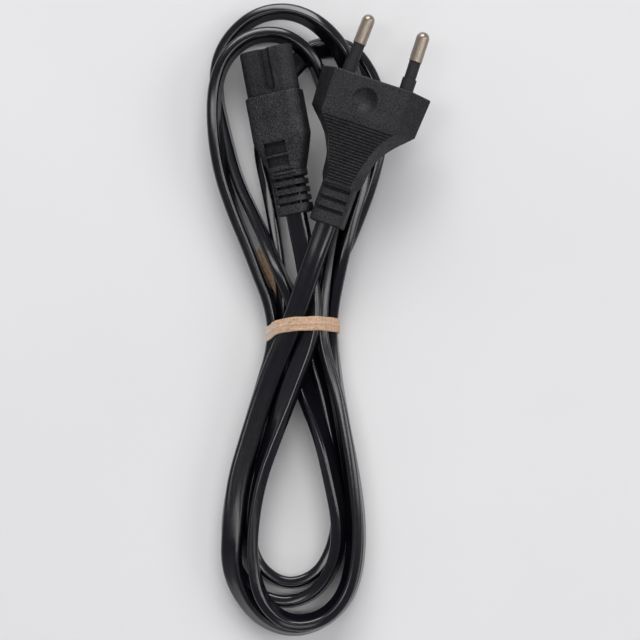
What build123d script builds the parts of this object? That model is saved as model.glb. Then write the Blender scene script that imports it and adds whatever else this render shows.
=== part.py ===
from build123d import *
import math
import os

# Power cord: two-pin flat mains plug, two-core cord folded into a hank,
# paper-covered wire tie round the waist, figure-8 appliance connector.
# Millimetres, +Z up, lying on the plane z = 0, pins pointing along +Y.

# ---- driving dimensions ------------------------------------------------
CORD_D = 4.6            # round section, between the thickness and the width of the flat 6.1 x 3.4 cord

PIN_D = 4.0             # contact pin
PIN_L = 19.0            # pin length ahead of the plug face
PIN_PITCH_BASE = 18.6   # between pin axes at the plug face
PIN_PITCH_TIP = 17.5    # between pin axes at the tips
SLEEVE_L = 9.6          # insulated length of each pin
SLEEVE_D = 3.58
COLLAR_D = 4.4          # thicker root of the sleeve
COLLAR_L = 4.2

PLUG_FACE = (18.000, 71.864, 15.870)    # middle of the plug face
PLUG_AZ = -19.490       # turn of the plug about Z
PLUG_ROLL = -10.0       # plug leans on the strands below it
# sections of the plug body: y, half width, half flat, half thickness
PLUG_HEAD = [(0.0, 17.65, 12.2, 6.85), (-12.2, 16.8, 11.9, 6.85)]
PLUG_NECK = [(-12.2, 16.8, 11.9, 6.85), (-14.6, 14.4, 11.2, 6.6), (-17.0, 12.0, 9.2, 6.35),
             (-20.5, 9.25, 7.3, 6.0), (-27.0, 6.95, 5.2, 5.4), (-33.4, 5.4, 4.3, 4.7)]
RIB_PITCH = 0.935
RIB_COUNT = 20
PLUG_RELIEF_END = -45.4
SHEATH_IN_PLUG = -36.0  # where the cord ends inside the plug

NOSE_TIP = (-15.696, 82.620, 11.770)      # middle of the connector's front face
CONN_AZ = 10.650
CONN_ROLL = -20.0
SOCKET_PITCH = 8.6
SOCKET_R = 1.35
NOSE_W, NOSE_T, NOSE_L = 16.7, 7.7, 13.9
BODY_W, BODY_T = 17.3, 10.0
CONN_RELIEF_END = -51.0
SHEATH_IN_CONN = -41.5

CORE_D = 2.2
WIRE_D = 1.1

TIE_T = 0.5             # thickness of the paper strip
TIE_Y0, TIE_Y1 = -3.45 + 0.334, 0.85 + 0.334
TIE_HULL = [(-14.3, 6.0), (-10.6, 3.1), (4.0, 3.3), (-3.0, 11.0), (-8.4, 12.15), (-10.0, 11.35)]
TIE_SHIFT = (1.117, -0.030)
TAIL = [(-10.5 + 1.117, -1.6 + 0.334), (-15.3 + 1.117, 4.6 + 0.334), (-18.83 + 1.117, 21.3 + 0.334)]
TAIL_W = 4.1

# corners of the cord's route, from inside the plug to inside the connector
ROUTE = [
    (5.989, 37.927, 15.870), (0.984, 23.786, 15.870), (-2.21, 15.93, 14.80), (-5.22, 8.03, 13.85),
    (-7.59, 0.13, 11.69), (-10.39, -7.64, 10.67), (-13.81, -15.56, 9.23), (-17.28, -24.47, 8.07),
    (-21.28, -35.57, 7.07), (-25.16, -48.87, 6.92), (-26.26, -62.97, 6.80), (-26.30, -75.89, 7.47),
    (-22.21, -86.00, 5.85), (-15.40, -93.10, 3.77), (-6.09, -95.70, 2.66), (3.03, -92.39, 2.30),
    (9.94, -85.28, 2.30), (13.43, -74.57, 2.31), (13.84, -61.27, 2.30), (12.34, -47.27, 2.30),
    (10.14, -33.87, 2.30), (8.06, -22.67, 2.30), (6.52, -13.57, 2.56), (5.02, -5.17, 3.27),
    (4.95, 3.14, 3.49), (6.20, 11.41, 5.40), (7.68, 20.17, 7.24), (10.22, 30.40, 6.90),
    (13.97, 42.95, 5.53), (14.42, 57.13, 4.57), (12.42, 71.03, 2.47), (7.82, 82.93, 7.89),
    (0.72, 91.03, 5.58), (-8.18, 95.33, 4.17), (-17.68, 94.53, 3.27), (-25.48, 89.03, 2.67),
    (-30.68, 80.63, 2.30), (-31.38, 69.43, 2.30), (-27.48, 57.03, 2.30), (-23.98, 43.33, 3.17),
    (-18.48, 31.33, 4.57), (-14.28, 21.33, 6.68), (-10.77, 13.03, 7.29), (-7.08, 5.53, 7.01),
    (-5.18, -2.77, 7.42), (-7.63, -10.95, 7.78), (-10.69, -19.16, 5.64), (-14.18, -28.87, 4.27),
    (-18.49, -40.97, 2.95), (-21.68, -54.37, 2.30), (-21.78, -66.37, 2.30), (-18.18, -76.17, 2.30),
    (-9.28, -81.57, 2.30), (0.59, -78.14, 2.30), (5.81, -68.96, 2.30), (7.22, -57.17, 2.30),
    (6.04, -43.47, 2.31), (4.03, -30.37, 2.30), (2.32, -19.57, 2.32), (-0.38, -10.97, 2.77),
    (-1.61, -2.56, 3.27), (-0.31, 5.74, 3.08), (2.86, 13.56, 2.38), (7.09, 21.45, 2.30),
    (12.36, 30.62, 2.30), (17.56, 42.71, 2.30), (21.12, 56.13, 2.30), (20.42, 68.23, 2.30),
    (16.52, 77.83, 2.30), (9.52, 85.03, 2.36), (-0.78, 84.83, 2.36), (-8.38, 77.93, 2.30),
    (-13.98, 67.93, 2.30), (-17.08, 54.63, 2.30), (-14.98, 40.63, 2.30), (-12.98, 28.23, 2.37),
    (-11.68, 18.13, 2.31), (-10.46, 9.54, 2.58), (-9.51, 1.26, 3.20), (-7.95, -6.85, 3.09),
    (-5.78, -15.16, 2.48), (-2.48, -24.17, 3.87), (1.80, -35.27, 6.02), (5.01, -48.77, 6.81),
    (6.52, -62.37, 7.07), (5.44, -74.19, 7.14), (0.24, -83.19, 4.95), (-8.88, -87.27, 3.26),
    (-18.36, -84.85, 2.30), (-25.06, -77.45, 2.30), (-27.89, -66.97, 2.32), (-26.90, -54.27, 2.30),
    (-23.88, -40.57, 2.30), (-20.28, -28.17, 2.57), (-16.88, -18.37, 3.37), (-13.89, -10.07, 4.28),
    (-12.43, -1.70, 6.34), (-14.35, 6.52, 5.50), (-17.68, 14.23, 4.57), (-20.98, 22.83, 4.17),
    (-25.28, 33.13, 4.07), (-29.68, 45.83, 4.57), (-31.88, 59.73, 6.08), (-31.58, 72.13, 7.47),
    (-27.58, 81.83, 6.17), (-19.68, 88.03, 4.67), (-9.78, 88.13, 5.17), (-1.68, 81.63, 7.77),
    (2.62, 71.23, 3.87), (4.62, 58.23, 4.07), (6.02, 44.13, 5.97), (5.87, 31.08, 8.46),
    (4.02, 20.57, 10.61), (2.69, 11.73, 8.61), (1.80, 3.42, 7.02), (1.55, -4.87, 6.83),
    (3.32, -13.17, 6.37), (5.68, -22.17, 6.44), (7.99, -33.17, 6.58), (10.20, -46.57, 6.57),
    (11.60, -60.67, 6.47), (11.21, -73.87, 6.43), (8.30, -84.76, 6.70), (1.11, -92.05, 6.82),
    (-9.16, -93.23, 7.02), (-16.88, -86.16, 7.32), (-19.68, -75.47, 7.11), (-19.78, -62.47, 6.75),
    (-18.18, -48.47, 6.59), (-13.68, -35.37, 7.48), (-9.18, -24.47, 8.67), (-5.97, -15.52, 10.67),
    (-3.20, -7.51, 11.39), (-1.45, 0.63, 10.72), (-1.94, 9.03, 9.89), (-3.26, 17.43, 9.62),
    (-5.162, 26.602, 11.770), (-8.026, 41.835, 11.770),
]

# ---- helpers -----------------------------------------------------------
plug_loc = Pos(*PLUG_FACE) * Rot(0, 0, PLUG_AZ) * Rot(0, PLUG_ROLL, 0)
conn_loc = Pos(*NOSE_TIP) * Rot(0, 0, CONN_AZ) * Rot(0, CONN_ROLL, 0)


def box(x0, x1, y0, y1, z0, z1):
    return Pos((x0 + x1) / 2, (y0 + y1) / 2, (z0 + z1) / 2) * Box(x1 - x0, y1 - y0, z1 - z0)


def rod(a, b, d):
    a, b = Vector(*a), Vector(*b)
    return Solid.make_cylinder(d / 2, (b - a).length, Plane(origin=a, z_dir=(b - a).normalized()))


def ybar(x, y0, y1, d, z=0.0):
    return rod((x, y0, z), (x, y1, z), d)


def hexagon(y, hw, hf, ht):
    pts = [(hw, y, 0), (hf, y, ht), (-hf, y, ht), (-hw, y, 0), (-hf, y, -ht), (hf, y, -ht)]
    return Wire.make_polygon([Vector(*p) for p in pts], close=True)


def slab(y0, y1, w, t, r):
    """Rounded bar along Y from y1 (rear) to y0 (front)."""
    sk = Plane(origin=(0, y1, 0), x_dir=(1, 0, 0), z_dir=(0, 1, 0)) * RectangleRounded(w, t, r)
    return extrude(sk, amount=y0 - y1, dir=(0, 1, 0))


def lerp(table, y, col):
    for a, b in zip(table, table[1:]):
        if b[0] <= y <= a[0]:
            f = (y - a[0]) / (b[0] - a[0])
            return a[col] + f * (b[col] - a[col])
    return table[-1][col]


def one(shape):
    s = shape.solids()
    s.sort(key=lambda v: v.volume)
    return s[-1]


parts = {}

# ---- plug: pins, sleeves, bridge, cores --------------------------------
lean = math.degrees(math.atan2((PIN_PITCH_BASE - PIN_PITCH_TIP) / 2, PIN_L))


def pin():
    p = ybar(0, -8.0, SLEEVE_L, 3.0)
    p = p.fuse(ybar(0, SLEEVE_L, PIN_L - PIN_D / 2, PIN_D))
    p = p.fuse(Pos(0, PIN_L - PIN_D / 2, 0) * Sphere(PIN_D / 2))
    p = p.fuse(ybar(0, -5.2, -4.2, 5.0))
    p = p.fuse(ybar(0, -15.0, -8.0, 3.2))
    return one(p.cut(ybar(0, -15.0, -10.5, WIRE_D)))


def sleeve():
    s = ybar(0, -2.4, SLEEVE_L, SLEEVE_D).fuse(ybar(0, -2.4, COLLAR_L, COLLAR_D))
    return one(s.cut(ybar(0, -3, SLEEVE_L + 1, 3.0)))


pins, sleeves, cores, wires = {}, {}, {}, {}
for side, sx in (("left", -1), ("right", 1)):
    at = Pos(sx * PIN_PITCH_BASE / 2, 0, 0) * Rot(0, 0, sx * lean)
    pins[side] = at * pin()
    sleeves[side] = at * sleeve()
    mouth = at * Pos(0, -15.0, 0)
    m = Vector(mouth.position.X, mouth.position.Y, 0)
    inner = at * Pos(0, -10.5, 0)
    n = Vector(inner.position.X, inner.position.Y, 0)
    e = Vector(sx * 1.13, SHEATH_IN_PLUG, 0)
    d = (e - m).normalized()
    wire = rod(n, m, WIRE_D).fuse(Pos(m.X, m.Y, 0) * Sphere(WIRE_D / 2), rod(m, e, WIRE_D))
    core = rod(m + d * 1.6, e, CORE_D)
    keep = box(-20, 20, SHEATH_IN_PLUG, 5, -5, 5)
    wires[side] = one(wire.intersect(keep))
    cores[side] = one(one(core.intersect(keep)).cut(wires[side]))

# pins hold the end of the stripped wire: the ball at the barrel mouth is cut out of the pin
for side in pins:
    pins[side] = one(pins[side].cut(wires[side]))

bridge = fillet(box(-12.4, 12.4, -9.4, -2.4, -3.7, 3.7).edges().filter_by(Axis.Y), 1.0)
for side in pins:
    bridge = bridge.cut(pins[side], sleeves[side])
bridge = one(bridge)

# ---- plug: moulded body with grip ribs and strain relief ----------------
head = Solid.make_loft([hexagon(*s) for s in PLUG_HEAD], ruled=True)
head = fillet([e for e in head.edges() if e.center().Y > -12.1], 0.55)
neck = Solid.make_loft([hexagon(*s) for s in PLUG_NECK], ruled=False)
relief = slab(-33.0, PLUG_RELIEF_END, 10.6, 8.6, 2.8)
relief = fillet(relief.faces().sort_by(Axis.Y)[0].edges(), 0.5)
plug = head.fuse(neck, relief)
plug = one(plug)

cutters = []
# finger dish on both faces
dish_r, dish_d = 4.0, 1.60
R = (dish_r ** 2 + dish_d ** 2) / (2 * dish_d)
for sz in (1, -1):
    cutters.append(Pos(-0.3, -7.0, sz * (6.85 + R - dish_d)) * Sphere(R))
# grip ribs: shallow grooves across the neck
for i in range(RIB_COUNT):
    y = -14.5 - RIB_PITCH * i
    hf = lerp(PLUG_NECK, y, 2) - 0.3
    zt = lerp(PLUG_NECK, y, 3)
    for sz in (1, -1):
        cutters.append(Pos(0, y, sz * (zt + 0.12)) * Box(2 * hf, 0.5, 1.40))
# strain relief slots, open towards one side on each face
for y in (-34.65, -37.9, -41.15):
    for sz in (1, -1):
        cutters.append(Pos(-sz * 0.85, y, sz * 4.05) * Box(10.3, 1.15, 3.2))
plug = plug.cut(*cutters)
plug = plug.cut(bridge, *pins.values(), *sleeves.values(), *cores.values(), *wires.values(),
                ybar(0, PLUG_RELIEF_END - 1, SHEATH_IN_PLUG, CORD_D + 0.03))
plug = one(plug)

parts["plug_body"] = plug_loc * plug
parts["pin_bridge"] = plug_loc * bridge
for side in pins:
    parts[f"contact_pin_{side}"] = plug_loc * pins[side]
    parts[f"pin_sleeve_{side}"] = plug_loc * sleeves[side]
for side, colour in (("left", "brown"), ("right", "blue")):
    parts[f"plug_core_{colour}"] = plug_loc * cores[side]
    parts[f"plug_conductor_{colour}"] = plug_loc * wires[side]

# ---- connector: contacts, carrier, cores -------------------------------
contacts, ccores, cwires = {}, {}, {}
for side, sx in (("left", -1), ("right", 1)):
    x = sx * SOCKET_PITCH / 2
    c = ybar(x, -15.0, -1.2, 3.5).fuse(ybar(x, -21.0, -15.0, 2.6))
    c = c.cut(ybar(x, -12.5, -1.0, 2 * SOCKET_R), ybar(x, -21.0, -16.5, WIRE_D))
    m = Vector(x, -21.0, 0)
    e = Vector(sx * 1.13, SHEATH_IN_CONN, 0)
    d = (e - m).normalized()
    w = rod((x, -16.5, 0), m, WIRE_D).fuse(Pos(m.X, m.Y, 0) * Sphere(WIRE_D / 2), rod(m, e, WIRE_D))
    keep = box(-20, 20, SHEATH_IN_CONN, 5, -5, 5)
    cwires[side] = one(w.intersect(keep))
    ccores[side] = one(one(rod(m + d * 1.3, e, CORE_D).intersect(keep)).cut(cwires[side]))
    contacts[side] = one(c.cut(cwires[side]))

nose = slab(0.0, -NOSE_L, NOSE_W, NOSE_T, NOSE_T / 2 - 0.01)
nose = fillet(nose.faces().sort_by(Axis.Y)[-1].edges(), 0.5)
# valley between the two lobes on each face, round at its inner end
for sz in (1, -1):
    lips = []
    for z, w in ((NOSE_T / 2 + 0.05, 4.3), (1.85, 1.5)):
        outline = Pos(0.2, -3.8, sz * z) * Rot(0, 0, 90) * SlotCenterToCenter(15.8, w)
        lips.append(outline.face().outer_wire())
    nose = nose.cut(Solid.make_loft(lips, ruled=True))
carrier = nose.fuse(slab(-NOSE_L + 0.01, -18.0, 14.0, 6.4, 1.5))
for side, sx in (("left", -1), ("right", 1)):
    carrier = carrier.cut(ybar(sx * SOCKET_PITCH / 2, -1.3, 1.0, 2 * SOCKET_R), contacts[side])
    carrier = carrier.cut(ybar(sx * SOCKET_PITCH / 2, -12.5, 1.0, 2 * SOCKET_R))
carrier = one(carrier)

# ---- connector: moulded body with strain relief -------------------------
front = slab(-NOSE_L, -27.6, BODY_W, BODY_T, 3.3)
front = fillet(front.faces().sort_by(Axis.Y)[-1].edges(), 0.7)


def ring(y, w, t, r):
    return (Plane(origin=(0, y, 0), x_dir=(1, 0, 0), z_dir=(0, 1, 0)) * RectangleRounded(w, t, r)).face().outer_wire()


taper = Solid.make_loft([ring(-27.6, BODY_W, BODY_T, 3.3), ring(-33.0, 14.0, 9.4, 3.2), ring(-38.2, 10.4, 8.6, 3.0)], ruled=True)
tail = slab(-38.0, CONN_RELIEF_END, 10.4, 8.5, 2.9)
tail = fillet(tail.faces().sort_by(Axis.Y)[0].edges(), 0.5)
ridge = slab(-38.0, -39.5, 10.8, 8.8, 3.0)
body = front.fuse(taper, tail, ridge)
cut2 = []
# grooves part the relief into rings, windows in the grooves leave sunk bridges between them
for y in (-40.3, -42.8, -45.3, -47.8):
    for sz in (1, -1):
        cut2.append(Pos(0, y, sz * 4.4) * Box(12.0, 0.95, 2.2))
        for x0, x1, z0 in ((-6.0, -2.6, 0.5), (-2.7, -1.9, 2.6), (0.1, 1.9, 2.6), (2.6, 6.0, 0.5)):
            cut2.append(Pos(sz * (x0 + x1) / 2, y, sz * (z0 + 5.3) / 2) * Box(x1 - x0, 0.95, 5.3 - z0))
    for sx in (1, -1):
        cut2.append(Pos(sx * 5.3, y, 0) * Box(1.3, 0.95, 9.0))
# fine line round the front of the relief
for y in (-37.6, -38.9):
    for sz in (1, -1):
        cut2.append(Pos(0, y, sz * 4.45) * Box(8.0, 0.45, 0.9))
# pocket on the upper face with plain grip ribs and a ramp behind them
cut2.append(box(-4.5, 2.5, -32.4, -28.6, 3.9, 6.0))
for i in range(6):
    cut2.append(Pos(-1.0, -29.1 - 0.58 * i, 3.9) * Box(7.0, 0.30, 0.9))
ramp = Pos(-1.0, -32.4, 3.3) * Rot(27, 0, 0) * Pos(0, -2.2, 1.5) * Box(7.0, 4.4, 3.0)
cut2.append(one(ramp.intersect(box(-4.5, 2.5, -36.0, -32.4, 3.0, 6.5))))
body = body.cut(*cut2)
body = body.cut(carrier, *contacts.values(), *ccores.values(), *cwires.values(),
                ybar(0, CONN_RELIEF_END - 1, SHEATH_IN_CONN, CORD_D + 0.03),
                *[ybar(sx * SOCKET_PITCH / 2, -12.5, 1.0, 2 * SOCKET_R) for sx in (-1, 1)])
body = one(body)

parts["connector_body"] = conn_loc * body
parts["contact_carrier"] = conn_loc * carrier
for side, colour in (("left", "blue"), ("right", "brown")):
    parts[f"socket_contact_{side}"] = conn_loc * contacts[side]
    parts[f"connector_core_{colour}"] = conn_loc * ccores[side]
    parts[f"connector_conductor_{colour}"] = conn_loc * cwires[side]

# ---- cord: straight runs joined by tangent arcs --------------------------
pts = [Vector(*p) for p in ROUTE]
runs = [(b - a).length for a, b in zip(pts, pts[1:])]
radii, turns = [], []
for i in range(1, len(pts) - 1):
    turn = (pts[i] - pts[i - 1]).get_angle(pts[i + 1] - pts[i])
    turns.append(turn)
    radii.append(0.45 * min(runs[i - 1], runs[i]) / math.tan(math.radians(turn) / 2))
path = FilletPolyline(*pts, radius=radii)
wire = path.wire()
start = Plane(origin=wire @ 0, z_dir=wire % 0)
cord = sweep(start * Circle(CORD_D / 2), path=wire)
cord = one(cord)
parts["cord"] = cord

print("cord arc radii:", " ".join("%.0f" % r for r in radii))
print("smallest radius %.1f mm, largest turn %.1f deg, smallest turn %.2f deg" % (min(radii), max(turns), min(turns)))
section = math.pi * CORD_D ** 2 / 4
print("cord length %.1f mm, volume %.0f, section x length %.0f, valid %s" % (wire.length, cord.volume, section * wire.length, cord.is_valid))

# ---- tie: paper strip with a wire core round the waist --------------------
hull = make_face(Polyline(*[(x + TIE_SHIFT[0], z + TIE_SHIFT[1]) for x, z in TIE_HULL], close=True))


def loop(inner, outer, y0, y1):
    ring2d = offset(hull, outer, kind=Kind.ARC) - offset(hull, inner, kind=Kind.ARC)
    frame = Plane(origin=(0, y1, 0), x_dir=(1, 0, 0), z_dir=(0, -1, 0))
    return one(extrude(frame * ring2d, amount=y1 - y0))


IN = CORD_D / 2 + 0.12
ymid = (TIE_Y0 + TIE_Y1) / 2
zb = min(z for x, z in TIE_HULL) + TIE_SHIFT[1] - IN - TIE_T


def strip(width, z0, z1, trim):
    out = None
    for a, b in zip(TAIL, TAIL[1:]):
        a3, b3 = Vector(*a), Vector(*b)
        mid = (a3 + b3) / 2
        ang = math.degrees(math.atan2(b3.Y - a3.Y, b3.X - a3.X))
        end = trim if b == TAIL[-1] else 0
        piece = Pos(mid.X, mid.Y, (z0 + z1) / 2) * Rot(0, 0, ang) * Pos(-end / 2, 0, 0) * Box((b3 - a3).length - end, width, z1 - z0)
        out = piece if out is None else out.fuse(piece)
    knee = Pos(TAIL[1][0], TAIL[1][1], (z0 + z1) / 2) * Cylinder(width / 2, z1 - z0)
    return out.fuse(knee)


paper = loop(IN, IN + TIE_T, TIE_Y0, TIE_Y1).fuse(strip(TAIL_W, zb, zb + TIE_T, 0))
core = loop(IN + 0.125, IN + 0.375, ymid - 0.2, ymid + 0.2).fuse(strip(0.4, zb + 0.125, zb + 0.375, 0.3))
core = one(core)
paper = one(paper.cut(core))
parts["tie_paper"] = paper
parts["tie_wire"] = core

# ---- export ---------------------------------------------------------------
os.makedirs("parts", exist_ok=True)
for name, shape in parts.items():
    export_step(shape, f"parts/{name}.step")

whole = Compound(children=[s for s in parts.values()])
bb = whole.bounding_box()
print("nodes", len(parts))
print("box min (%.3f, %.3f, %.3f) max (%.3f, %.3f, %.3f)" % (bb.min.X, bb.min.Y, bb.min.Z, bb.max.X, bb.max.Y, bb.max.Z))
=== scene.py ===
import math

import bpy
import numpy as np
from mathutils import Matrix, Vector


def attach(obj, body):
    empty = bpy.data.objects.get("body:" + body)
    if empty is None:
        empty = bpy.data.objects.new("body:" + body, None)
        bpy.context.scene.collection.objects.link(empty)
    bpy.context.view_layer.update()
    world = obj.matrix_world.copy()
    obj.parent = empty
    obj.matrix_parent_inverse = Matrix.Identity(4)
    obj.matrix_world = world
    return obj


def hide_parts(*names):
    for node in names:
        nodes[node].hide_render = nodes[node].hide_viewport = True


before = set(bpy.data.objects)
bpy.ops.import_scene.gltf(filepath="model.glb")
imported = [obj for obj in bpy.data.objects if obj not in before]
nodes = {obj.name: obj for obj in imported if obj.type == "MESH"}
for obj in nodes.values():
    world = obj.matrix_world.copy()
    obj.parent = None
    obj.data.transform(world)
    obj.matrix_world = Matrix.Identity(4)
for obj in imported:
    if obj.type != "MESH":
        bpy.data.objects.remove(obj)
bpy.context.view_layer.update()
scene = bpy.context.scene
MM = 0.001

# ---- camera: straight down, image up is +Y ---------------------------------
CAM_X, CAM_Y = 0.904 * MM, 0.244 * MM
FRAME_W = 196.92 * MM          # width of the picture at the height below
REF_Z, CAM_Z = 5 * MM, 0.6
cam_data = bpy.data.cameras.new("camera")
cam = bpy.data.objects.new("camera", cam_data)
scene.collection.objects.link(cam)
cam.location = (CAM_X, CAM_Y, CAM_Z)
cam_data.sensor_width = 36.0
cam_data.lens = 18.0 * (CAM_Z - REF_Z) / (FRAME_W / 2)
cam_data.clip_start, cam_data.clip_end = 0.05, 20
scene.camera = cam

# ---- floor and light --------------------------------------------------------
def material(name):
    m = bpy.data.materials.new(name)
    m.use_nodes = True
    t = m.node_tree
    return m, t, t.nodes["Principled BSDF"]


def node(tree, kind, **values):
    n = tree.nodes.new(kind)
    for k, v in values.items():
        setattr(n, k, v)
    return n


def noise(tree, coord, scale, detail=3.0, rough=0.55):
    n = node(tree, "ShaderNodeTexNoise")
    n.inputs["Scale"].default_value = scale
    n.inputs["Detail"].default_value = detail
    n.inputs["Roughness"].default_value = rough
    tree.links.new(coord, n.inputs["Vector"])
    return n.outputs["Fac"]


def ramp(tree, fac, stops):
    r = node(tree, "ShaderNodeValToRGB")
    e = r.color_ramp.elements
    while len(e) < len(stops):
        e.new(0.5)
    for i, (at, colour) in enumerate(stops):
        e[i].position = at
        e[i].color = (*colour, 1.0)
    tree.links.new(fac, r.inputs["Fac"])
    return r.outputs["Color"]


def span(tree, fac, lo, hi, low=0.3, high=0.7):
    """fac from low..high mapped to lo..hi"""
    m = node(tree, "ShaderNodeMapRange")
    m.inputs["From Min"].default_value = low
    m.inputs["From Max"].default_value = high
    m.inputs["To Min"].default_value = lo
    m.inputs["To Max"].default_value = hi
    tree.links.new(fac, m.inputs["Value"])
    return m.outputs["Result"]


def stretched(tree, coord, scale):
    m = node(tree, "ShaderNodeMapping")
    m.inputs["Scale"].default_value = scale
    tree.links.new(coord, m.inputs["Vector"])
    return m.outputs["Vector"]


def bump(tree, shader, height, strength, distance, under=None):
    b = node(tree, "ShaderNodeBump")
    b.inputs["Strength"].default_value = strength
    b.inputs["Distance"].default_value = distance
    tree.links.new(height, b.inputs["Height"])
    if under is not None:
        tree.links.new(under, b.inputs["Normal"])
    tree.links.new(b.outputs["Normal"], shader.inputs["Normal"])
    return b.outputs["Normal"]


def coords(tree, which="Object"):
    return node(tree, "ShaderNodeTexCoord").outputs[which]


floor_mat, t, s = material("floor_paper")
c = coords(t)
t.links.new(ramp(t, noise(t, c, 6.0), [(0.3, (0.82, 0.82, 0.825)), (0.7, (0.86, 0.86, 0.86))]), s.inputs["Base Color"])
s.inputs["Roughness"].default_value = 0.75
bpy.ops.mesh.primitive_plane_add(size=6.0, location=(0, 0, -0.0001))
floor = bpy.context.object
floor.name = "floor"
floor.data.materials.append(floor_mat)

world = bpy.data.worlds.new("studio")
scene.world = world
world.use_nodes = True
wt = world.node_tree
sky = node(wt, "ShaderNodeTexCoord").outputs["Generated"]
split = node(wt, "ShaderNodeSeparateXYZ")
wt.links.new(sky, split.inputs[0])
# a white tent, dim all round: most light comes from the two boxes beside the camera
tent = ramp(wt, split.outputs["Z"], [(0.0, (0.36, 0.36, 0.38)), (0.30, (0.30, 0.30, 0.32)), (0.60, (0.20, 0.20, 0.215)), (0.85, (0.13, 0.13, 0.14))])
wt.links.new(tent, wt.nodes["Background"].inputs["Color"])
wt.nodes["Background"].inputs["Strength"].default_value = 1.0


def softbox(name, place, size, power, colour=(1, 1, 1)):
    d = bpy.data.lights.new(name, "AREA")
    d.shape = "RECTANGLE"
    d.size, d.size_y = size
    d.energy = power
    d.color = colour
    o = bpy.data.objects.new(name, d)
    scene.collection.objects.link(o)
    o.location = place
    o.rotation_euler = (Vector((0, 0, 0)) - Vector(place)).to_track_quat("-Z", "Y").to_euler()
    return o


softbox("box_right", (0.94, 0.12, 2.85), (0.62, 1.3), 11.5)
softbox("box_left", (-0.86, 0.12, 2.85), (0.5, 1.3), 10.0)
softbox("box_back", (-0.2, 2.4, 1.75), (2.4, 1.3), 64.0)
softbox("box_front", (0.0, -1.9, 2.0), (1.2, 0.6), 4.0)
softbox("box_side", (2.2, 0.3, 1.6), (0.9, 1.2), 13.0)

scene.view_settings.view_transform = "Standard"
scene.view_settings.look = "None"
scene.view_settings.exposure = 0.0
scene.view_settings.gamma = 1.0

# ---- materials ----------------------------------------------------------------
def moulded(name, low, high, r_lo, r_hi, grain, depth, fine):
    """Spark-textured moulded PVC: cloudy colour, fine grain in two sizes, painted shade darkening the colour in
    grooves and slots.
    """
    m, t, s = material(name)
    c = coords(t)
    cloud = noise(t, c, 160.0, 4.0)
    speck = noise(t, c, grain * 2.2, 2.0)
    mix = node(t, "ShaderNodeMath", operation="MULTIPLY_ADD")
    mix.inputs[1].default_value = 0.22
    t.links.new(cloud, mix.inputs[0])
    t.links.new(speck, mix.inputs[2])
    tone = ramp(t, mix.outputs[0], [(0.55, low), (0.68, high)])
    # painted shade: the colour is darkened where the surface is hemmed in, so grooves and slots stay dark
    painted_shade_ao = node(t, "ShaderNodeAmbientOcclusion", samples=6)
    painted_shade_ao.inputs["Distance"].default_value = 0.0017
    painted_shade_factor = span(t, painted_shade_ao.outputs["AO"], 0.02, 1.0, 0.46, 0.93)
    painted_shade_dim = node(t, "ShaderNodeVectorMath", operation="SCALE")
    t.links.new(tone, painted_shade_dim.inputs[0])
    t.links.new(painted_shade_factor, painted_shade_dim.inputs["Scale"])
    t.links.new(painted_shade_dim.outputs["Vector"], s.inputs["Base Color"])
    t.links.new(span(t, noise(t, c, grain * 0.5), r_lo, r_hi), s.inputs["Roughness"])
    s.inputs["Specular IOR Level"].default_value = 0.35
    b1 = bump(t, s, noise(t, c, grain, 3.0, 0.6), depth, 0.00012)
    bump(t, s, noise(t, c, grain * 2.6, 2.0), fine, 0.00005, b1)
    return m


pvc = moulded("black_pvc_textured", (0.001, 0.001, 0.0018), (0.0262, 0.0256, 0.0302), 0.45, 0.62, 1350.0, 1.0, 0.5)
# painted light: the connector's copy of the same black PVC is made lighter than the plug's, standing in for the
# stronger light on the connector
pvc_connector_painted_lighter = moulded("black_pvc_connector_painted_lighter", (0.001, 0.001, 0.0018), (0.046, 0.045, 0.052), 0.45, 0.62, 1350.0, 1.0, 0.5)
nose = moulded("nose_plastic_black", (0.002, 0.002, 0.0030), (0.030, 0.0292, 0.0340), 0.45, 0.60, 1500.0, 0.8, 0.4)
sleeve = moulded("sleeve_plastic_black", (0.007, 0.007, 0.0085), (0.018, 0.018, 0.021), 0.48, 0.60, 3000.0, 0.30, 0.15)


def metal(name, low, high, r_lo, r_hi):
    m, t, s = material(name)
    c = coords(t)
    s.inputs["Metallic"].default_value = 1.0
    t.links.new(ramp(t, noise(t, c, 500.0, 4.0), [(0.3, low), (0.7, high)]), s.inputs["Base Color"])
    streak = noise(t, stretched(t, c, (1.0, 0.06, 1.0)), 2600.0, 2.0)
    t.links.new(span(t, streak, r_lo, r_hi), s.inputs["Roughness"])
    bump(t, s, streak, 0.05, 0.00002)
    return m


nickel = metal("nickel_plated", (0.31, 0.26, 0.212), (0.385, 0.33, 0.272), 0.34, 0.44)
copper = metal("copper_strand", (0.80, 0.42, 0.26), (0.90, 0.52, 0.34), 0.30, 0.45)
steel = metal("tie_steel_wire", (0.55, 0.55, 0.56), (0.66, 0.66, 0.67), 0.35, 0.5)


def insulation(name, low, high):
    m, t, s = material(name)
    c = coords(t)
    t.links.new(ramp(t, noise(t, c, 400.0, 3.0), [(0.35, low), (0.65, high)]), s.inputs["Base Color"])
    t.links.new(span(t, noise(t, c, 900.0), 0.38, 0.5), s.inputs["Roughness"])
    bump(t, s, noise(t, c, 2400.0), 0.15, 0.00005)
    return m


core_brown = insulation("core_insulation_brown", (0.14, 0.055, 0.022), (0.19, 0.075, 0.030))
core_blue = insulation("core_insulation_blue", (0.020, 0.085, 0.30), (0.030, 0.11, 0.38))


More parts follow.
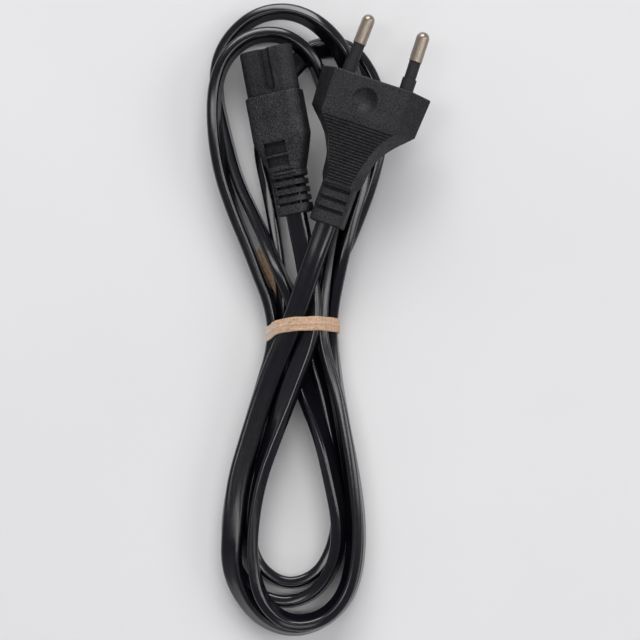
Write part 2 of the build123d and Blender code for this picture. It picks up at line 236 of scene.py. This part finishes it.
def cord_material():
    """Extruded satin PVC: faint lengthwise draw lines, dull handling marks."""
    m, t, s = material("cord_pvc_black")
    c = coords(t)
    uv = coords(t, "UV")
    cloud = noise(t, c, 110.0, 4.0)
    t.links.new(ramp(t, cloud, [(0.35, (0.0036, 0.0038, 0.0060)), (0.65, (0.0064, 0.0066, 0.0098))]), s.inputs["Base Color"])
    lines = noise(t, stretched(t, uv, (6.0, 90.0, 1.0)), 1.0, 2.0)
    dull = noise(t, c, 420.0, 4.0)
    mix = node(t, "ShaderNodeMath", operation="ADD")
    t.links.new(lines, mix.inputs[0])
    t.links.new(dull, mix.inputs[1])
    t.links.new(span(t, mix.outputs[0], 0.15, 0.21, 0.7, 1.3), s.inputs["Roughness"])
    s.inputs["Specular IOR Level"].default_value = 0.66
    b1 = bump(t, s, lines, 0.10, 0.00004)
    bump(t, s, noise(t, c, 2600.0, 2.0), 0.07, 0.00004, b1)
    return m


cord_mat = cord_material()


def paper_material():
    """Kraft paper: fibres along the strip, speckle, a painted highlight paling the left end at the turn."""
    m, t, s = material("kraft_paper")
    c = coords(t)
    uv = coords(t, "UV")
    fibre = noise(t, stretched(t, uv, (20.0, 11.0, 1.0)), 1.0, 5.0, 0.68)
    fleck = noise(t, c, 1500.0, 3.0)
    mix = node(t, "ShaderNodeMath", operation="ADD")
    t.links.new(fibre, mix.inputs[0])
    t.links.new(fleck, mix.inputs[1])
    half = node(t, "ShaderNodeMath", operation="MULTIPLY")
    half.inputs[1].default_value = 0.5
    t.links.new(mix.outputs[0], half.inputs[0])
    kraft = ramp(t, half.outputs[0], [(0.36, (0.42, 0.25, 0.155)), (0.5, (0.60, 0.395, 0.262)), (0.64, (0.76, 0.57, 0.43))])
    # painted light: the left end of the strip, at the turn, is paled to stand in for the light falling on it from the
    # left
    split = node(t, "ShaderNodeSeparateXYZ")
    t.links.new(c, split.inputs[0])
    painted_light_end = node(t, "ShaderNodeMix", data_type="RGBA")
    painted_light_mask = node(t, "ShaderNodeMath", operation="MULTIPLY")
    t.links.new(span(t, split.outputs["X"], 0.75, 0.0, -0.0148, -0.0118), painted_light_mask.inputs[0])
    t.links.new(span(t, split.outputs["Y"], 1.0, 0.0, 0.003, 0.007), painted_light_mask.inputs[1])
    t.links.new(painted_light_mask.outputs[0], painted_light_end.inputs["Factor"])
    t.links.new(kraft, painted_light_end.inputs["A"])
    painted_light_end.inputs["B"].default_value = (0.78, 0.66, 0.56, 1.0)
    t.links.new(painted_light_end.outputs["Result"], s.inputs["Base Color"])
    t.links.new(span(t, fleck, 0.78, 0.92), s.inputs["Roughness"])
    s.inputs["Specular IOR Level"].default_value = 0.25
    b1 = bump(t, s, fibre, 0.35, 0.00010)
    bump(t, s, fleck, 0.25, 0.00006, b1)
    return m


paper_mat = paper_material()

for name, mat in {
    "plug_body": pvc, "connector_body": pvc_connector_painted_lighter, "contact_carrier": nose, "pin_bridge": nose,
    "pin_sleeve_left": sleeve, "pin_sleeve_right": sleeve,
    "contact_pin_left": nickel, "contact_pin_right": nickel,
    "socket_contact_left": nickel, "socket_contact_right": nickel,
    "plug_core_brown": core_brown, "connector_core_brown": core_brown,
    "plug_core_blue": core_blue, "connector_core_blue": core_blue,
    "plug_conductor_brown": copper, "plug_conductor_blue": copper,
    "connector_conductor_brown": copper, "connector_conductor_blue": copper,
}.items():
    o = nodes[name]
    o.data.materials.clear()
    o.data.materials.append(mat)

# ---- the cord ------------------------------------------------------------------
CORD_W, CORD_T, CORNER, CROWN = 6.1, 3.4, 1.0, 0.02   # flat two-core section, mm
GROOVE = 0.032          # hollow along the middle of each wide face, share of half the thickness
# route: x, y, z in mm and the roll of the flat section in degrees
ROUTE = [
    (5.99, 37.93, 15.87, 14), (0.98, 23.79, 15.87, 16), (-1.83, 15.92, 14.93, 17), (-4.53, 8.02, 13.67, 17),
    (-7.20, 0.12, 12.33, 16), (-10.39, -7.64, 10.84, 3), (-13.81, -15.56, 9.68, -1), (-16.98, -24.47, 8.86, -2),
    (-20.48, -35.57, 8.40, -3), (-24.46, -48.87, 8.28, -3), (-25.92, -62.98, 8.48, 4), (-26.43, -75.93, 8.12, 36),
    (-22.22, -86.00, 6.52, 54), (-15.40, -93.10, 5.12, 63), (-6.09, -95.70, 4.06, 69), (3.04, -92.41, 3.37, 74),
    (9.95, -85.29, 3.29, 78), (12.93, -74.57, 3.28, 80), (13.15, -61.27, 3.28, 80), (11.16, -47.26, 3.28, 79),
    (8.46, -33.84, 3.28, 79), (6.50, -22.61, 3.30, 80), (5.33, -13.54, 3.30, 82), (4.59, -5.16, 3.83, 85),
    (4.78, 3.13, 4.97, 92), (6.01, 11.38, 6.90, 100), (7.66, 20.17, 8.35, 108), (10.11, 30.44, 7.90, 112),
    (13.96, 42.96, 6.64, 116), (14.42, 57.13, 5.64, 128), (12.42, 71.03, 5.30, 144), (7.77, 82.87, 7.55, 132),
    (0.69, 91.06, 7.68, 116), (-8.18, 95.33, 6.12, 108), (-17.68, 94.53, 4.83, 105), (-25.48, 89.03, 3.89, 104),
    (-30.68, 80.64, 3.29, 102), (-31.23, 69.48, 3.28, 100), (-28.23, 57.05, 3.44, 98), (-24.58, 43.33, 4.88, 97),
    (-18.79, 31.33, 6.70, 97), (-14.37, 21.32, 8.75, 98), (-10.76, 13.03, 9.49, 101), (-7.07, 5.55, 8.09, 115),
    (-5.18, -2.76, 7.20, 145), (-7.70, -10.92, 6.78, 175), (-10.78, -19.13, 5.79, 198), (-14.19, -28.86, 4.60, 214),
    (-18.49, -40.97, 3.81, 228), (-21.68, -54.37, 3.38, 238), (-21.79, -66.36, 3.30, 246),
    (-18.18, -76.47, 3.31, 252), (-9.28, -81.97, 3.30, 256), (0.54, -78.41, 3.30, 256), (5.65, -68.88, 3.31, 254),
    (7.17, -57.14, 3.31, 250), (6.07, -43.47, 3.30, 244), (3.91, -30.42, 3.22, 234), (2.01, -19.62, 3.01, 220),
    (-0.41, -10.97, 2.79, 204), (-1.61, -2.56, 2.99, 190), (-0.31, 5.74, 2.42, 180), (2.89, 13.56, 2.33, 166),
    (7.24, 21.43, 2.88, 146), (11.68, 30.59, 3.26, 122), (16.56, 42.71, 3.31, 110), (19.82, 56.13, 3.31, 106),
    (19.22, 68.23, 3.31, 108), (15.62, 77.44, 3.30, 114), (9.18, 84.50, 3.17, 130), (-0.80, 84.37, 2.73, 152),
    (-8.43, 77.98, 2.25, 168), (-13.98, 67.93, 2.11, 172), (-17.08, 54.63, 2.96, 142), (-14.98, 40.63, 3.30, 104),
    (-12.95, 28.24, 3.20, 92), (-11.60, 18.15, 3.19, 91), (-10.42, 9.55, 3.38, 103), (-8.97, 1.30, 3.77, 140),
    (-7.75, -6.85, 2.61, 170), (-5.58, -15.21, 2.76, 158), (-2.74, -24.22, 6.04, 138), (1.64, -35.30, 8.64, 126),
    (4.59, -48.77, 9.20, 120), (7.12, -62.41, 9.21, 114), (5.59, -74.26, 8.02, 108), (0.25, -83.30, 6.05, 105),
    (-8.88, -87.36, 4.31, 105), (-18.35, -84.84, 3.30, 105), (-24.96, -77.40, 3.31, 108),
    (-27.79, -66.94, 3.31, 106), (-26.50, -54.27, 3.30, 104), (-23.08, -40.57, 3.28, 101),
    (-19.68, -28.17, 3.26, 97), (-16.88, -18.37, 3.54, 91), (-13.94, -10.07, 4.16, 83), (-12.93, -1.73, 5.00, 75),
    (-14.53, 6.51, 5.13, 72), (-17.98, 14.23, 5.20, 82), (-21.33, 22.83, 5.63, 84), (-25.58, 33.13, 6.44, 80),
    (-29.69, 45.83, 7.63, 74), (-31.65, 59.70, 9.09, 77), (-31.31, 72.10, 9.46, 79), (-27.58, 81.53, 8.70, 78),
    (-19.68, 87.53, 8.19, 76), (-9.80, 87.63, 7.95, 75), (-1.65, 81.51, 6.47, 74), (2.63, 71.21, 3.31, 73),
    (4.62, 58.23, 3.31, 74), (6.02, 44.13, 4.03, 77), (5.82, 31.09, 5.10, 80), (3.84, 20.61, 6.49, 83),
    (2.56, 11.75, 7.31, 86), (1.63, 3.43, 7.63, 87), (1.44, -4.87, 8.18, 84), (3.25, -13.18, 8.86, 80),
    (5.83, -22.16, 9.30, 75), (7.97, -33.16, 9.27, 72), (10.17, -46.57, 9.09, 70), (11.58, -60.66, 8.79, 69),
    (11.20, -73.86, 8.63, 68), (8.28, -84.74, 8.73, 69), (1.09, -91.72, 8.93, 69), (-9.17, -92.73, 9.20, 71),
    (-16.90, -85.77, 9.60, 77), (-19.68, -75.47, 9.42, 87), (-19.78, -62.47, 9.22, 96), (-17.58, -48.47, 9.17, 104),
    (-13.38, -35.37, 9.44, 124), (-9.48, -24.48, 10.02, 144), (-6.26, -15.53, 10.54, 150),
    (-3.24, -7.51, 10.80, 152), (-1.61, 0.65, 11.09, 154), (-1.96, 9.04, 10.77, 158), (-3.24, 17.45, 10.77, 160),
    (-5.16, 26.60, 11.77, 160), (-8.03, 41.84, 11.77, 160),
]


def nurbs(points, resolution):
    """Points along a quadratic NURBS with these control points."""
    cu = bpy.data.curves.new("route", "CURVE")
    cu.dimensions = "3D"
    cu.resolution_u = resolution
    sp = cu.splines.new("NURBS")
    sp.points.add(len(points) - 1)
    for p, co in zip(sp.points, points):
        p.co = (*co, 1.0)
    sp.order_u = 3
    sp.use_endpoint_u = True
    ob = bpy.data.objects.new("route", cu)
    me = bpy.data.meshes.new_from_object(ob)
    line = np.array([v.co for v in me.vertices], float)
    bpy.data.meshes.remove(me)
    bpy.data.objects.remove(ob)
    bpy.data.curves.remove(cu)
    return line


STEPS = 10
line = nurbs([(x * MM, y * MM, z * MM) for x, y, z, r in ROUTE], STEPS)
roll = np.radians(nurbs([(float(i), r, 0.0) for i, (x, y, z, r) in enumerate(ROUTE)], STEPS)[:, 1])
keep = np.concatenate([[True], np.linalg.norm(np.diff(line, axis=0), axis=1) > 1e-6])
line, roll = line[keep], roll[keep]


def section():
    """Rounded flat section, a faint hollow between the two cores, metres, closed loop."""
    hw, ht, r = CORD_W / 2, CORD_T / 2, CORNER
    pts = []
    for cx, cy, a0 in ((hw - r, ht - r, 0), (-hw + r, ht - r, 90), (-hw + r, -ht + r, 180), (hw - r, -ht + r, 270)):
        for k in range(8):
            a = math.radians(a0 + 90 * k / 7)
            pts.append((cx + r * math.cos(a), cy + r * math.sin(a)))
        if a0 in (0, 180):      # along the wide face
            s = -1 if a0 == 0 else 1
            for k in (0.125, 0.25, 0.375, 0.5, 0.625, 0.75, 0.875):
                pts.append((-s * (hw - r) * (1 - 2 * k), ht if a0 == 0 else -ht))
        else:                   # middle of the narrow edge
            pts.append((-hw if a0 == 90 else hw, 0.0))
    out = []
    for x, y in pts:
        swell = 1 + CROWN * (1 - (x / hw) ** 2) - GROOVE * math.exp(-(x / 0.95) ** 2)
        out.append((x * (1 + 0.04 * (1 - (y / ht) ** 2)) * MM, y * swell * MM))
    return np.array(out)


def object_from(name, verts, faces, mat, uvs=None):
    me = bpy.data.meshes.new(name)
    me.from_pydata([tuple(v) for v in verts], [], faces)
    if uvs is not None:
        layer = me.uv_layers.new(name="along")
        for poly in me.polygons:
            for li in poly.loop_indices:
                layer.data[li].uv = uvs(poly.index, me.loops[li].vertex_index)
    me.validate()
    for p in me.polygons:
        p.use_smooth = True
    me.materials.append(mat)
    ob = bpy.data.objects.new(name, me)
    scene.collection.objects.link(ob)
    return ob


tangent = np.gradient(line, axis=0)
tangent /= np.linalg.norm(tangent, axis=1)[:, None]
side = np.cross([0.0, 0.0, 1.0], tangent)
side /= np.linalg.norm(side, axis=1)[:, None]
up = np.cross(tangent, side)
wide = np.cos(roll)[:, None] * side + np.sin(roll)[:, None] * up
thin = -np.sin(roll)[:, None] * side + np.cos(roll)[:, None] * up
sec = section()
K, N = len(sec), len(line)
cord_v = (line[:, None, :] + sec[None, :, 0, None] * wide[:, None, :] + sec[None, :, 1, None] * thin[:, None, :]).reshape(-1, 3)
cord_f = []
for i in range(N - 1):
    for k in range(K):
        k2 = (k + 1) % K
        cord_f.append((i * K + k, i * K + k2, (i + 1) * K + k2, (i + 1) * K + k))
cord_f.append(tuple(range(K))[::-1])
cord_f.append(tuple((N - 1) * K + k for k in range(K)))
along = np.concatenate([[0], np.cumsum(np.linalg.norm(np.diff(line, axis=0), axis=1))])
last_column = {}


def cord_uv(face, vert):
    i, k = divmod(vert, K)
    if face < (N - 1) * K and face % K == K - 1 and k == 0:
        k = K
    return (along[i] * 20.0, k / K)


cord = object_from("cord_flat", cord_v, cord_f, cord_mat, cord_uv)
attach(cord, "root")
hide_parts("cord")

# ---- the tie ---------------------------------------------------------------------
# the strip goes round everything that passes the waist
left = cord_v[:, 0] < -10 * MM
band = np.where(left, (cord_v[:, 1] > -6.0 * MM) & (cord_v[:, 1] < -2.6 * MM), (cord_v[:, 1] > -3.2 * MM) & (cord_v[:, 1] < 1.2 * MM))
waist = cord_v[band][:, [0, 2]]
angles = np.linspace(0, 2 * math.pi, 720, endpoint=False)
normals = np.stack([np.cos(angles), np.sin(angles)], axis=1)
support = waist[np.argmax(waist @ normals.T, axis=0)] + normals * 0.28 * MM
gap = np.concatenate([support, support[:1]])
dist = np.concatenate([[0], np.cumsum(np.linalg.norm(np.diff(gap, axis=0), axis=1))])
COUNT = 180
at = np.linspace(0, dist[-1], COUNT, endpoint=False)
loop = np.stack([np.interp(at, dist, gap[:, k]) for k in (0, 1)], axis=1)
for _ in range(10):
    loop = 0.25 * np.roll(loop, 1, 0) + 0.5 * loop + 0.25 * np.roll(loop, -1, 0)
out = np.roll(loop, -1, 0) - np.roll(loop, 1, 0)
out = np.stack([out[:, 1], -out[:, 0]], axis=1)
out /= np.linalg.norm(out, axis=1)[:, None]
FRONT = [(-16.2, -4.4), (-15.2, -4.1), (-13.4, -2.55), (-12.0, -1.9), (-10.0, -1.35), (-6.7, -0.95), (-0.1, -0.7), (4.0, -1.05), (6.5, -1.5)]
fx, fy = zip(*FRONT)
lo_x, hi_x = loop[:, 0].min(), loop[:, 0].max()
share = (loop[:, 0] - lo_x) / (hi_x - lo_x)
front_y = np.interp(loop[:, 0] / MM, fx, fy)
back_y = -3.9 + share * 2.0
blend = np.clip(0.5 + out[:, 1] * 0.9, 0, 1)
mid_y = (blend * front_y + (1 - blend) * back_y) * MM
for _ in range(6):
    mid_y = 0.25 * np.roll(mid_y, 1) + 0.5 * mid_y + 0.25 * np.roll(mid_y, -1)
half_w = (2.14 + 0.14 * np.clip((-11.0 - loop[:, 0] / MM) / 4.5, 0, 1)) * MM
loop_len = np.concatenate([[0], np.cumsum(np.linalg.norm(np.diff(np.concatenate([loop, loop[:1]]), axis=0), axis=1))])
PAPER_T = 0.34 * MM
COLS = [-1.0, -0.94, -0.7, -0.42, -0.2, -0.1, 0.0, 0.1, 0.2, 0.42, 0.7, 0.94, 1.0]


def paper_height(v, along_m):
    """The wire's ridge down the middle and the slight curl of the two paper wings."""
    ridge = 0.16 * math.exp(-(v / 0.15) ** 2)
    wave = 0.05 * math.sin(along_m / MM * 1.3 + 2.0 * v) + 0.035 * math.sin(along_m / MM * 2.9 - 3.1 * v + 1.0)
    edge = -0.10 if abs(v) > 0.98 else 0.0
    return (ridge + wave * abs(v) + edge) * MM


tie_v, tie_f = [], []
C2 = 2 * len(COLS)
for i in range(COUNT):
    for j in range(C2):
        v = COLS[j] if j < len(COLS) else COLS[C2 - 1 - j]
        h = paper_height(v, loop_len[i]) + (PAPER_T / 2 if j < len(COLS) else -PAPER_T / 2)
        if j >= len(COLS):
            h = min(h, 0.0) - 0.04 * MM
        wob = 0.06 * MM * math.sin(loop_len[i] / MM * 0.9 + (1.0 if v > 0 else 2.6))
        y = mid_y[i] + v * half_w[i] + (wob if abs(v) > 0.9 else 0.0)
        tie_v.append((loop[i, 0] + out[i, 0] * h, y, loop[i, 1] + out[i, 1] * h))
for i in range(COUNT):
    i2 = (i + 1) % COUNT
    for j in range(C2):
        j2 = (j + 1) % C2
        tie_f.append((i * C2 + j, i2 * C2 + j, i2 * C2 + j2, i * C2 + j2))
LOOP_VERTS = len(tie_v)
tie_uv = [(loop_len[i] * 20.0, (COLS[j] if j < len(COLS) else COLS[C2 - 1 - j])) for i in range(COUNT) for j in range(C2)]

# free end of the strip, lying on the floor under the upper left strands
TAIL = [(-11.5, -3.4, 0.62, 0), (-13.2, -0.8, 0.52, 0), (-14.4, 5.4, 0.45, 0), (-14.5, 11.2, 1.4, 26), (-15.2, 15.7, 3.3, 56), (-17.4, 22.4, 4.2, 62)]
tail = nurbs([(x * MM, y * MM, z * MM) for x, y, z, r in TAIL], 12)
tail_roll = np.radians(nurbs([(float(i), r, 0.0) for i, (x, y, z, r) in enumerate(TAIL)], 12)[:, 1])
tt = np.gradient(tail, axis=0)
tt /= np.linalg.norm(tt, axis=1)[:, None]
ts = np.cross(tt, [0.0, 0.0, 1.0])
ts /= np.linalg.norm(ts, axis=1)[:, None]
tu = np.cross(ts, tt)
tw = np.cos(tail_roll)[:, None] * ts + np.sin(tail_roll)[:, None] * tu
tn = -np.sin(tail_roll)[:, None] * ts + np.cos(tail_roll)[:, None] * tu
tail_len = np.concatenate([[0], np.cumsum(np.linalg.norm(np.diff(tail, axis=0), axis=1))])
base = len(tie_v)
for i in range(len(tail)):
    for j in range(C2):
        v = COLS[j] if j < len(COLS) else COLS[C2 - 1 - j]
        h = paper_height(v, tail_len[i] * 1.2 + 0.013) + (PAPER_T / 2 if j < len(COLS) else -PAPER_T / 2)
        if j >= len(COLS):
            h = min(h, 0.0) - 0.02 * MM
        p = tail[i] + tw[i] * v * 2.05 * MM + tn[i] * h
        tie_v.append((p[0], p[1], max(p[2], 0.03 * MM)))
        tie_uv.append((0.7 + tail_len[i] * 20.0, v))
for i in range(len(tail) - 1):
    for j in range(C2):
        j2 = (j + 1) % C2
        tie_f.append((base + i * C2 + j, base + i * C2 + j2, base + (i + 1) * C2 + j2, base + (i + 1) * C2 + j))
tie_f.append(tuple(base + j for j in range(C2))[::-1])
tie_f.append(tuple(base + (len(tail) - 1) * C2 + j for j in range(C2)))


def tie_uvs(face, vert):
    u, v = tie_uv[vert]
    if face < COUNT * C2 and face // C2 == COUNT - 1 and vert < C2:
        u = loop_len[-1] * 20.0
    return (u, v)


tie = object_from("tie_strip", tie_v, tie_f, paper_mat, tie_uvs)
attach(tie, "root")
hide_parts("tie_paper")

# the wire inside it, showing only at the cut end
wire_line = [(loop[i, 0], mid_y[i], loop[i, 1]) for i in range(COUNT)]
wv, wf = [], []
RING = 10
rad = 0.13 * MM
for i in range(COUNT):
    for k in range(RING):
        a = 2 * math.pi * k / RING
        wv.append((loop[i, 0] + out[i, 0] * rad * math.cos(a), mid_y[i] + rad * math.sin(a), loop[i, 1] + out[i, 1] * rad * math.cos(a)))
for i in range(COUNT):
    i2 = (i + 1) % COUNT
    for k in range(RING):
        k2 = (k + 1) % RING
        wf.append((i * RING + k, i2 * RING + k, i2 * RING + k2, i * RING + k2))
wb = len(wv)
for i in range(len(tail)):
    p0 = tail[i] + (tt[i] * 0.45 * MM if i == len(tail) - 1 else 0)
    for k in range(RING):
        a = 2 * math.pi * k / RING
        p = p0 + tw[i] * rad * math.cos(a) + tn[i] * (rad * math.sin(a) + 0.02 * MM)
        wv.append(tuple(p))
for i in range(len(tail) - 1):
    for k in range(RING):
        k2 = (k + 1) % RING
        wf.append((wb + i * RING + k, wb + i * RING + k2, wb + (i + 1) * RING + k2, wb + (i + 1) * RING + k))
wf.append(tuple(wb + k for k in range(RING))[::-1])
wf.append(tuple(wb + (len(tail) - 1) * RING + k for k in range(RING)))
wire = object_from("tie_wire_core", wv, wf, steel)
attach(wire, "root")
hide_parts("tie_wire")
